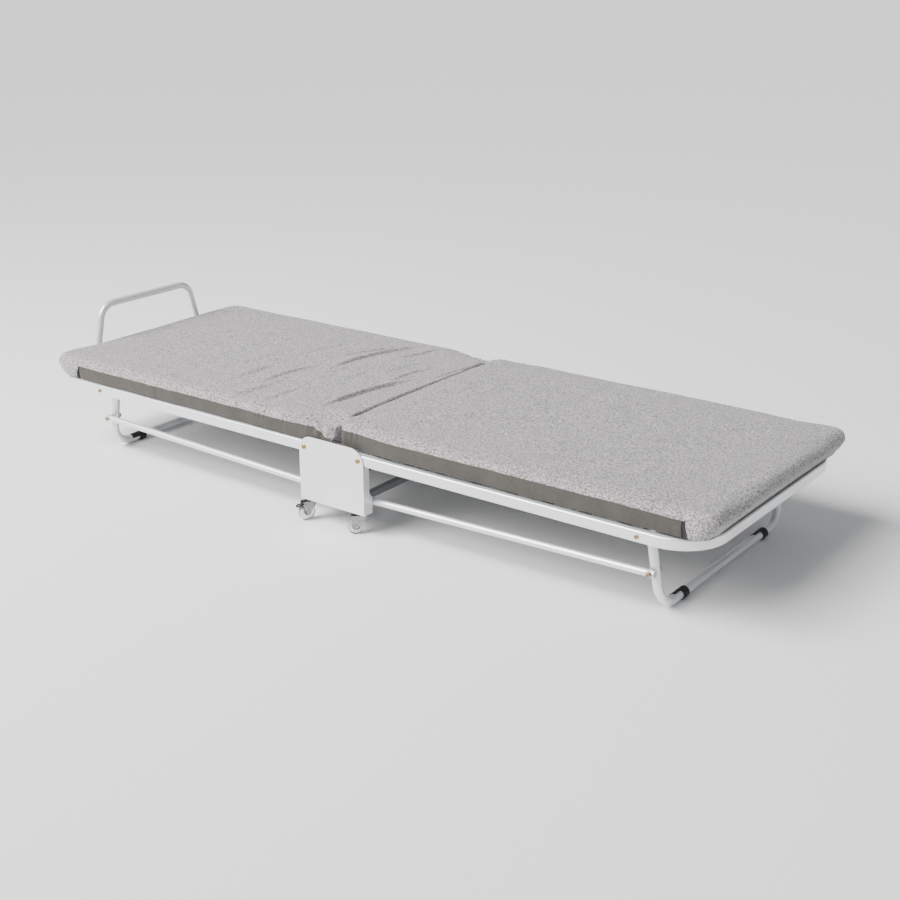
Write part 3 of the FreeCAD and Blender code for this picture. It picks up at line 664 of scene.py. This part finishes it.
def crease(piece, pad):
    """Adds the wrinkles, the lumps of the wadding, the gathered edge and the bunched corner by the fold."""
    s = pad.settings
    points = points_of(piece.data)
    along = (points[:, 0] - pad.fold) * pad.sign
    across = points[:, 1]
    height = points[:, 2] - pad.base
    on_top = smooth_step(height, s.edge_height * 0.72, s.edge_height)
    lift = np.zeros(len(points))
    for wrinkle in WRINKLES[pad.half]:
        lift += ridge(along, across, wrinkle) * s.wrinkle
    lumps = np.array([noise.noise(Vector((x * 7.0, y * 7.0, 3.0 + pad.sign))) for x, y in zip(along, across)])
    fine = np.array([noise.noise(Vector((x * 30.0, y * 18.0, 9.0 + pad.sign))) for x, y in zip(along, across)])
    lift += 0.0018 * lumps + 0.0007 * fine
    points[:, 2] += lift * on_top
    edge = smooth_step(np.abs(across), pad.wide - 0.050, pad.wide - 0.010) * smooth_step(height, 0.020, 0.040)
    reach = 0.46 if pad.half == "head" else 0.20
    gathered = edge * (1.0 - smooth_step(along, reach * 0.4, reach))
    ripple = np.sin(along * 2.0 * math.pi / 0.0135 + 9.0 * lumps) * (0.6 + 1.2 * fine)
    points[:, 1] += np.sign(across) * 0.0011 * ripple * gathered
    points[:, 2] += 0.0007 * ripple * gathered
    if pad.half == "foot":
        beside_pins = smooth_step(np.abs(across), pad.wide - 0.060, pad.wide - 0.010)
        points[:, 1] -= np.sign(across) * 0.009 * beside_pins * (1.0 - smooth_step(along, 0.060, 0.150))
    if pad.half == "head":
        beside = smooth_step(np.abs(across), pad.wide - 0.085, pad.wide - 0.015)
        near_fold = 1.0 - smooth_step(along, 0.020, 0.150)
        points[:, 2] -= 0.016 * beside * near_fold * on_top
        pleats = np.sin(along * 150.0 + 16.0 * lumps) * 0.6 + np.sin(along * 71.0 + 2.0) * 0.4
        push = 0.0050 * pleats * smooth_step(np.abs(across), pad.wide - 0.035, pad.wide - 0.008) * near_fold
        points[:, 1] -= np.sign(across) * (push + 0.008 * beside * near_fold) * smooth_step(height, 0.004, 0.03)
        first, last = LAP_ROWS
        lapped = smooth_step(along, first - 0.009, first - 0.002)
        lapped = lapped * (1.0 - smooth_step(along, last + 0.003, last + 0.010))
        lapped = lapped * smooth_step(np.abs(across), pad.wide - 0.012, pad.wide - 0.004) * (1.0 - on_top)
        points[:, 1] += np.sign(across) * 0.0016 * lapped
    sides = smooth_step(np.abs(across), pad.wide - 0.010, pad.wide - 0.002)
    points[:, 1] -= np.sign(across) * sides * 0.0010 * (1.0 + np.sin(along * 31.0 + 5.0 * lumps))
    set_points(piece.data, points)


# ---- Stitches -------------------------------------------------------------------------
def thread_rows(pad, piece):
    """The sewn rows of one half, each a list of points on the cloth."""
    s = pad.settings
    rows = []
    for side in SIDES.values():
        row = []
        for along in np.linspace(0.115, pad.tuck - 0.004, 150):
            row.append((along, pad.seam_drop(np.array(along)) + 0.0042))
        rows.append((side, row))
        if pad.half == "head":
            for along in LAP_ROWS:
                low = s.edge_height - 0.012
                top = float(pad.seam_drop(np.array(along))) + 0.006
                rows.append((side, [(along, below) for below in np.linspace(top, low, 12)]))
    placed = []
    for side, row in rows:
        line = []
        for along, below in row:
            beside = Vector((pad.fold + pad.sign * along, side * (pad.wide + 0.006),
                             pad.base + s.edge_height - float(below)))
            _, spot, out, _ = piece.closest_point_on_mesh(beside)
            line.append(spot + out * s.thread_width * 0.25)
        placed.append(line)
    return placed


def stitch_tree(thread):
    """A tree that lays thread stitches end to end along every edge path of a mesh."""
    tree = bpy.data.node_groups.new("stitches", "GeometryNodeTree")
    face = tree.interface
    face.new_socket("Geometry", in_out="INPUT", socket_type="NodeSocketGeometry")
    for name in ("Pitch", "Length", "Thickness"):
        face.new_socket(name, in_out="INPUT", socket_type="NodeSocketFloat")
    face.new_socket("Geometry", in_out="OUTPUT", socket_type="NodeSocketGeometry")
    add = tree.nodes.new
    link = tree.links.new
    given, result = add("NodeGroupInput"), add("NodeGroupOutput")
    curve, spaced = add("GeometryNodeMeshToCurve"), add("GeometryNodeResampleCurve")
    spaced.mode = "LENGTH"
    bead, sized = add("GeometryNodeMeshUVSphere"), add("GeometryNodeTransform")
    shape = add("ShaderNodeCombineXYZ")
    bead.inputs["Segments"].default_value = 6
    bead.inputs["Rings"].default_value = 4
    bead.inputs["Radius"].default_value = 0.5
    tangent, turned = add("GeometryNodeInputTangent"), add("FunctionNodeAlignRotationToVector")
    turned.axis = "X"
    laid, real = add("GeometryNodeInstanceOnPoints"), add("GeometryNodeRealizeInstances")
    cloth = add("GeometryNodeSetMaterial")
    cloth.inputs["Material"].default_value = thread
    link(given.outputs["Geometry"], curve.inputs["Mesh"])
    link(curve.outputs["Curve"], spaced.inputs["Curve"])
    link(given.outputs["Pitch"], spaced.inputs["Length"])
    link(given.outputs["Length"], shape.inputs["X"])
    link(given.outputs["Thickness"], shape.inputs["Y"])
    link(given.outputs["Thickness"], shape.inputs["Z"])
    link(bead.outputs["Mesh"], sized.inputs["Geometry"])
    link(shape.outputs["Vector"], sized.inputs["Scale"])
    link(tangent.outputs["Tangent"], turned.inputs["Vector"])
    link(spaced.outputs["Curve"], laid.inputs["Points"])
    link(sized.outputs["Geometry"], laid.inputs["Instance"])
    link(turned.outputs["Rotation"], laid.inputs["Rotation"])
    link(laid.outputs["Instances"], real.inputs["Geometry"])
    link(real.outputs["Geometry"], cloth.inputs["Geometry"])
    link(cloth.outputs["Geometry"], result.inputs["Geometry"])
    return tree


def sew(pad, piece):
    """Makes the stitches of one half as one plain mesh."""
    s = pad.settings
    points, edges = [], []
    for row in thread_rows(pad, piece):
        edges += [(len(points) + i, len(points) + i + 1) for i in range(len(row) - 1)]
        points += [tuple(point) for point in row]
    stitches = new_piece(pad.half + "_stitches", points, [], edges)
    tree = bpy.data.node_groups.get("stitches") or stitch_tree(bpy.data.materials["sewing thread"])
    laid = stitches.modifiers.new("Stitches", "NODES")
    laid.node_group = tree
    values = {"Pitch": s.stitch_pitch, "Length": s.stitch, "Thickness": s.thread_width}
    for socket in tree.interface.items_tree:
        if socket.in_out == "INPUT" and socket.name in values:
            laid[socket.identifier] = values[socket.name]
    bake_modifiers(stitches)
    return stitches


def cloth_materials():
    """The mattress's materials, made once."""
    s = bpy.context.scene.cot_mattress
    if "heather cloth" not in bpy.data.materials:
        heather("heather cloth", s.top_light, s.top_dark)
        plain_cloth("boxing cloth", s.boxing)
        # The tuck cloth is near black to paint the shadow inside the folded tucks.
        plain_cloth("painted tuck shadow", s.tuck_shadow)
        moulded("sewing thread", s.thread, 0.75, 0.0006)
    return [bpy.data.materials[n] for n in ("heather cloth", "boxing cloth", "painted tuck shadow")]


class COT_OT_mattress_half(bpy.types.Operator):
    """Make one padded mattress half, with its boxing, tucks, wrinkles and seams"""

    bl_idname = "cot.mattress_half"
    bl_label = "Mattress half"
    half: EnumProperty(name="Half", description="Which half to make",
                       items=[("head", "Head", "The half with the handle"), ("foot", "Foot", "The other half")])

    def execute(self, context):
        settings = context.scene.cot_mattress
        pad = Pad(self.half, settings)
        piece = pad.build()
        for material in cloth_materials():
            piece.data.materials.append(material)
        swell(piece, pad.fixed, settings.pressure, settings.swell)
        shape = piece.modifiers.new("Smooth", "SUBSURF")
        shape.levels = 1
        shape.render_levels = 1
        bake_modifiers(piece)
        crease(piece, pad)
        piece.data.shade_smooth()
        stitches = sew(pad, piece)
        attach(stitches, self.half + "_half")
        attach(piece, self.half + "_half")
        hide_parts(self.half + "_mattress")
        return {"FINISHED"}


# ---- Frames, fasteners, casters -------------------------------------------------------
class COT_OT_paint(bpy.types.Operator):
    """Powder coat the frames, legs, links, slats, plates and handle"""

    bl_idname = "cot.paint"
    bl_label = "Powder coat"

    def execute(self, context):
        s = context.scene.cot_metal
        paint = powder_coat("pale powder coat", s.paint, s.paint_rough)
        # The cross tubes get a dark coat that paints in the shade they sit in under the cot.
        dark = powder_coat("dark painted-shade powder coat", s.shaded_tube, 0.42)
        dress(paint, "side_plate_near", "side_plate_far", "stop_pins", "head_handle")
        for half in HALVES:
            dress(paint, *[half + part for part in ("_frame", "_deck_slats", "_leg_tube", "_link_near",
                                                    "_link_far")])
        dress(dark, "cross_tube_head", "cross_tube_foot")
        return {"FINISHED"}


class COT_OT_welds(bpy.types.Operator):
    """Run a weld bead round each post of the handle where it stands on the end rail"""

    bl_idname = "cot.welds"
    bl_label = "Handle welds"

    def execute(self, context):
        s = context.scene.cot_metal
        low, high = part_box("head_handle")
        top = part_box("head_frame")[1][2]
        radius = (high[0] - low[0]) / 2
        middle = (low[0] + high[0]) / 2
        steps, sides, waves = 44, 8, 11
        points, faces = [], []
        for side in SIDES.values():
            start = len(points)
            across = side * (high[1] - radius)
            for i in range(steps):
                turn = 2.0 * math.pi * i / steps
                bead_radius = 0.55 * s.weld * (1.0 + 0.16 * math.sin(turn * waves))
                for j in range(sides):
                    round_bead = 2.0 * math.pi * j / sides
                    out = radius + bead_radius * math.cos(round_bead)
                    points.append((middle + out * math.cos(turn), across + out * math.sin(turn),
                                   top + 0.0002 + bead_radius * math.sin(round_bead)))
            for i in range(steps):
                for j in range(sides):
                    a, b = start + i * sides, start + (i + 1) % steps * sides
                    k = (j + 1) % sides
                    faces.append((a + j, b + j, b + k, a + k))
        bead = new_piece("handle_welds", points, faces)
        bead.data.materials.append(bpy.data.materials["pale powder coat"])
        bead.data.shade_smooth()
        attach(bead, "head_half")
        return {"FINISHED"}


class COT_OT_fasteners(bpy.types.Operator):
    """Plate the bolts, nuts, washers, studs and stems"""

    bl_idname = "cot.fasteners"
    bl_label = "Fasteners"

    def execute(self, context):
        s = context.scene.cot_metal
        yellow = plated("yellow zinc", s.yellow_zinc, 0.34, scaled(s.yellow_zinc, 0.62))
        grey = plated("bright zinc", s.zinc, 0.36, scaled(s.zinc, 0.72))
        nylon = moulded("natural nylon", (0.62, 0.62, 0.60), 0.45, 0.0012)
        dress(yellow, "pivot_bolts")
        dress(grey, "pivot_nuts", "link_studs", "link_spacers", "link_stud_nuts", "caster_stems")
        dress(nylon, "pivot_washers")
        for half in HALVES:
            dress(yellow, half + "_leg_bolts", half + "_link_bolts")
            dress(grey, *[half + part for part in ("_leg_spacers", "_leg_nuts", "_link_washers", "_link_nuts")])
        return {"FINISHED"}


class COT_OT_plastics(bpy.types.Operator):
    """Finish the plugs, caps and rubber feet"""

    bl_idname = "cot.plastics"
    bl_label = "Plugs and feet"

    def execute(self, context):
        s = context.scene.cot_metal
        black = moulded("black plastic", s.black, 0.46, 0.0009)
        rubber = moulded("black rubber", s.rubber, 0.62, 0.0014)
        plug = moulded("grey end plug", scaled(s.paint, 0.62), 0.5, 0.0009)
        for half in HALVES:
            dress(black, half + "_rail_plugs", half + "_leg_caps")
            dress(plug, half + "_link_caps")
            dress(rubber, half + "_feet")
        return {"FINISHED"}


class COT_OT_casters(bpy.types.Operator):
    """Finish the casters: forks, clear wheels, hubs and brake pedals"""

    bl_idname = "cot.casters"
    bl_label = "Casters"

    def execute(self, context):
        s = context.scene.cot_metal
        black = moulded("caster black", s.black, 0.42, 0.0008)
        wheel = clear_wheel("clear polyurethane", s.wheel)
        hub = moulded("grey hub plastic", s.hub, 0.40, 0.0010)
        fork = plated("fork zinc", scaled(s.zinc, 0.50), 0.24, scaled(s.zinc, 0.34))
        dress(black, "caster_caps")
        for name in CASTERS:
            dress(fork, name + "_fork")
            dress(wheel, name + "_wheel")
            dress(hub, name + "_hub")
        for name in BRAKED:
            dress(black, name + "_brake_pedal")
        return {"FINISHED"}


# ---- Stage ----------------------------------------------------------------------------
FLOOR_REACH = 60.0
FAR_CLIP = 200.0
SUN_SPREAD = 38.0
SUN_FORWARD = (0.36, 0.66, -0.66)
KEY_PLACE = (-1.7, -1.8, 3.0)
KEY_TARGET = (-0.7, 0.0, 0.2)
KEY_SIZE = 1.6


def light(name, kind, power, tint, forward):
    """A light that shines in one direction."""
    data = bpy.data.lights.new(name, kind)
    data.energy = power
    data.color = tint
    lamp = linked(name, data)
    lamp.rotation_euler = Vector(forward).to_track_quat("-Z", "Y").to_euler()
    return lamp


class COT_OT_stage(bpy.types.Operator):
    """Make the camera, the pale floor and the soft lights"""

    bl_idname = "cot.stage"
    bl_label = "Stage"

    def execute(self, context):
        s = context.scene.cot_stage
        data = bpy.data.cameras.new("camera")
        data.lens = s.lens
        data.sensor_width = 36.0
        data.clip_end = FAR_CLIP
        camera = linked("camera", data)
        camera.location = s.camera
        camera.rotation_mode = "QUATERNION"
        look = Vector(s.forward).to_track_quat("-Z", "Y")
        camera.rotation_quaternion = look @ Quaternion((0.0, 0.0, 1.0), math.radians(s.roll))
        context.scene.camera = camera
        side = FLOOR_REACH
        floor = new_piece("floor", [(-side, -side, 0), (side, -side, 0), (side, side, 0), (-side, side, 0)],
                          [(0, 1, 2, 3)])
        paint = Finish("floor paint", Roughness=0.85, Specular_IOR_Level=0.1)
        paint.feed("Base Color", paint.blend(paint.noise(0.8, 2.0), scaled(s.floor, 0.995), s.floor))
        floor.data.materials.append(paint.material)
        window = light("window", "SUN", s.sun, (1.0, 0.985, 0.965), SUN_FORWARD)
        window.data.angle = math.radians(SUN_SPREAD)
        key = light("key", "AREA", s.key, (1.0, 0.97, 0.94), Vector(KEY_TARGET) - Vector(KEY_PLACE))
        key.location = KEY_PLACE
        key.data.shape = "SQUARE"
        key.data.size = KEY_SIZE
        world = bpy.data.worlds.new("surround")
        world.use_nodes = True
        background = world.node_tree.nodes["Background"]
        background.inputs["Color"].default_value = (0.94, 0.97, 1.0, 1.0)
        background.inputs["Strength"].default_value = s.sky
        context.scene.world = world
        return {"FINISHED"}


class COT_PT_panel(bpy.types.Panel):
    """Lists the cot's steps"""

    bl_idname = "COT_PT_panel"
    bl_label = "Folding cot"
    bl_space_type = "VIEW_3D"
    bl_region_type = "UI"
    bl_category = "Cot"

    def draw(self, context):
        for operator in OPERATORS:
            if operator is COT_OT_mattress_half:
                for half in HALVES:
                    self.layout.operator(operator.bl_idname, text="Mattress, " + half).half = half
            else:
                self.layout.operator(operator.bl_idname)


SETTINGS = {"cot_mattress": CotMattressSettings, "cot_metal": CotMetalSettings, "cot_stage": CotStageSettings}
OPERATORS = (COT_OT_paint, COT_OT_welds, COT_OT_fasteners, COT_OT_plastics, COT_OT_casters,
             COT_OT_mattress_half, COT_OT_stage)


def register():
    """Registers the classes and adds the settings to the scene."""
    for group in SETTINGS.values():
        bpy.utils.register_class(group)
    for operator in OPERATORS:
        bpy.utils.register_class(operator)
    bpy.utils.register_class(COT_PT_panel)
    for name, group in SETTINGS.items():
        setattr(bpy.types.Scene, name, PointerProperty(type=group))


def unregister():
    """Takes everything away again."""
    for name in SETTINGS:
        delattr(bpy.types.Scene, name)
    bpy.utils.unregister_class(COT_PT_panel)
    for operator in reversed(OPERATORS):
        bpy.utils.unregister_class(operator)
    for group in reversed(SETTINGS.values()):
        bpy.utils.unregister_class(group)


def main():
    """Builds the whole cot."""
    register()
    bpy.ops.cot.paint()
    bpy.ops.cot.welds()
    bpy.ops.cot.fasteners()
    bpy.ops.cot.plastics()
    bpy.ops.cot.casters()
    for half in HALVES:
        bpy.ops.cot.mattress_half(half=half)
    bpy.ops.cot.stage()


if __name__ == "__main__":
    main()
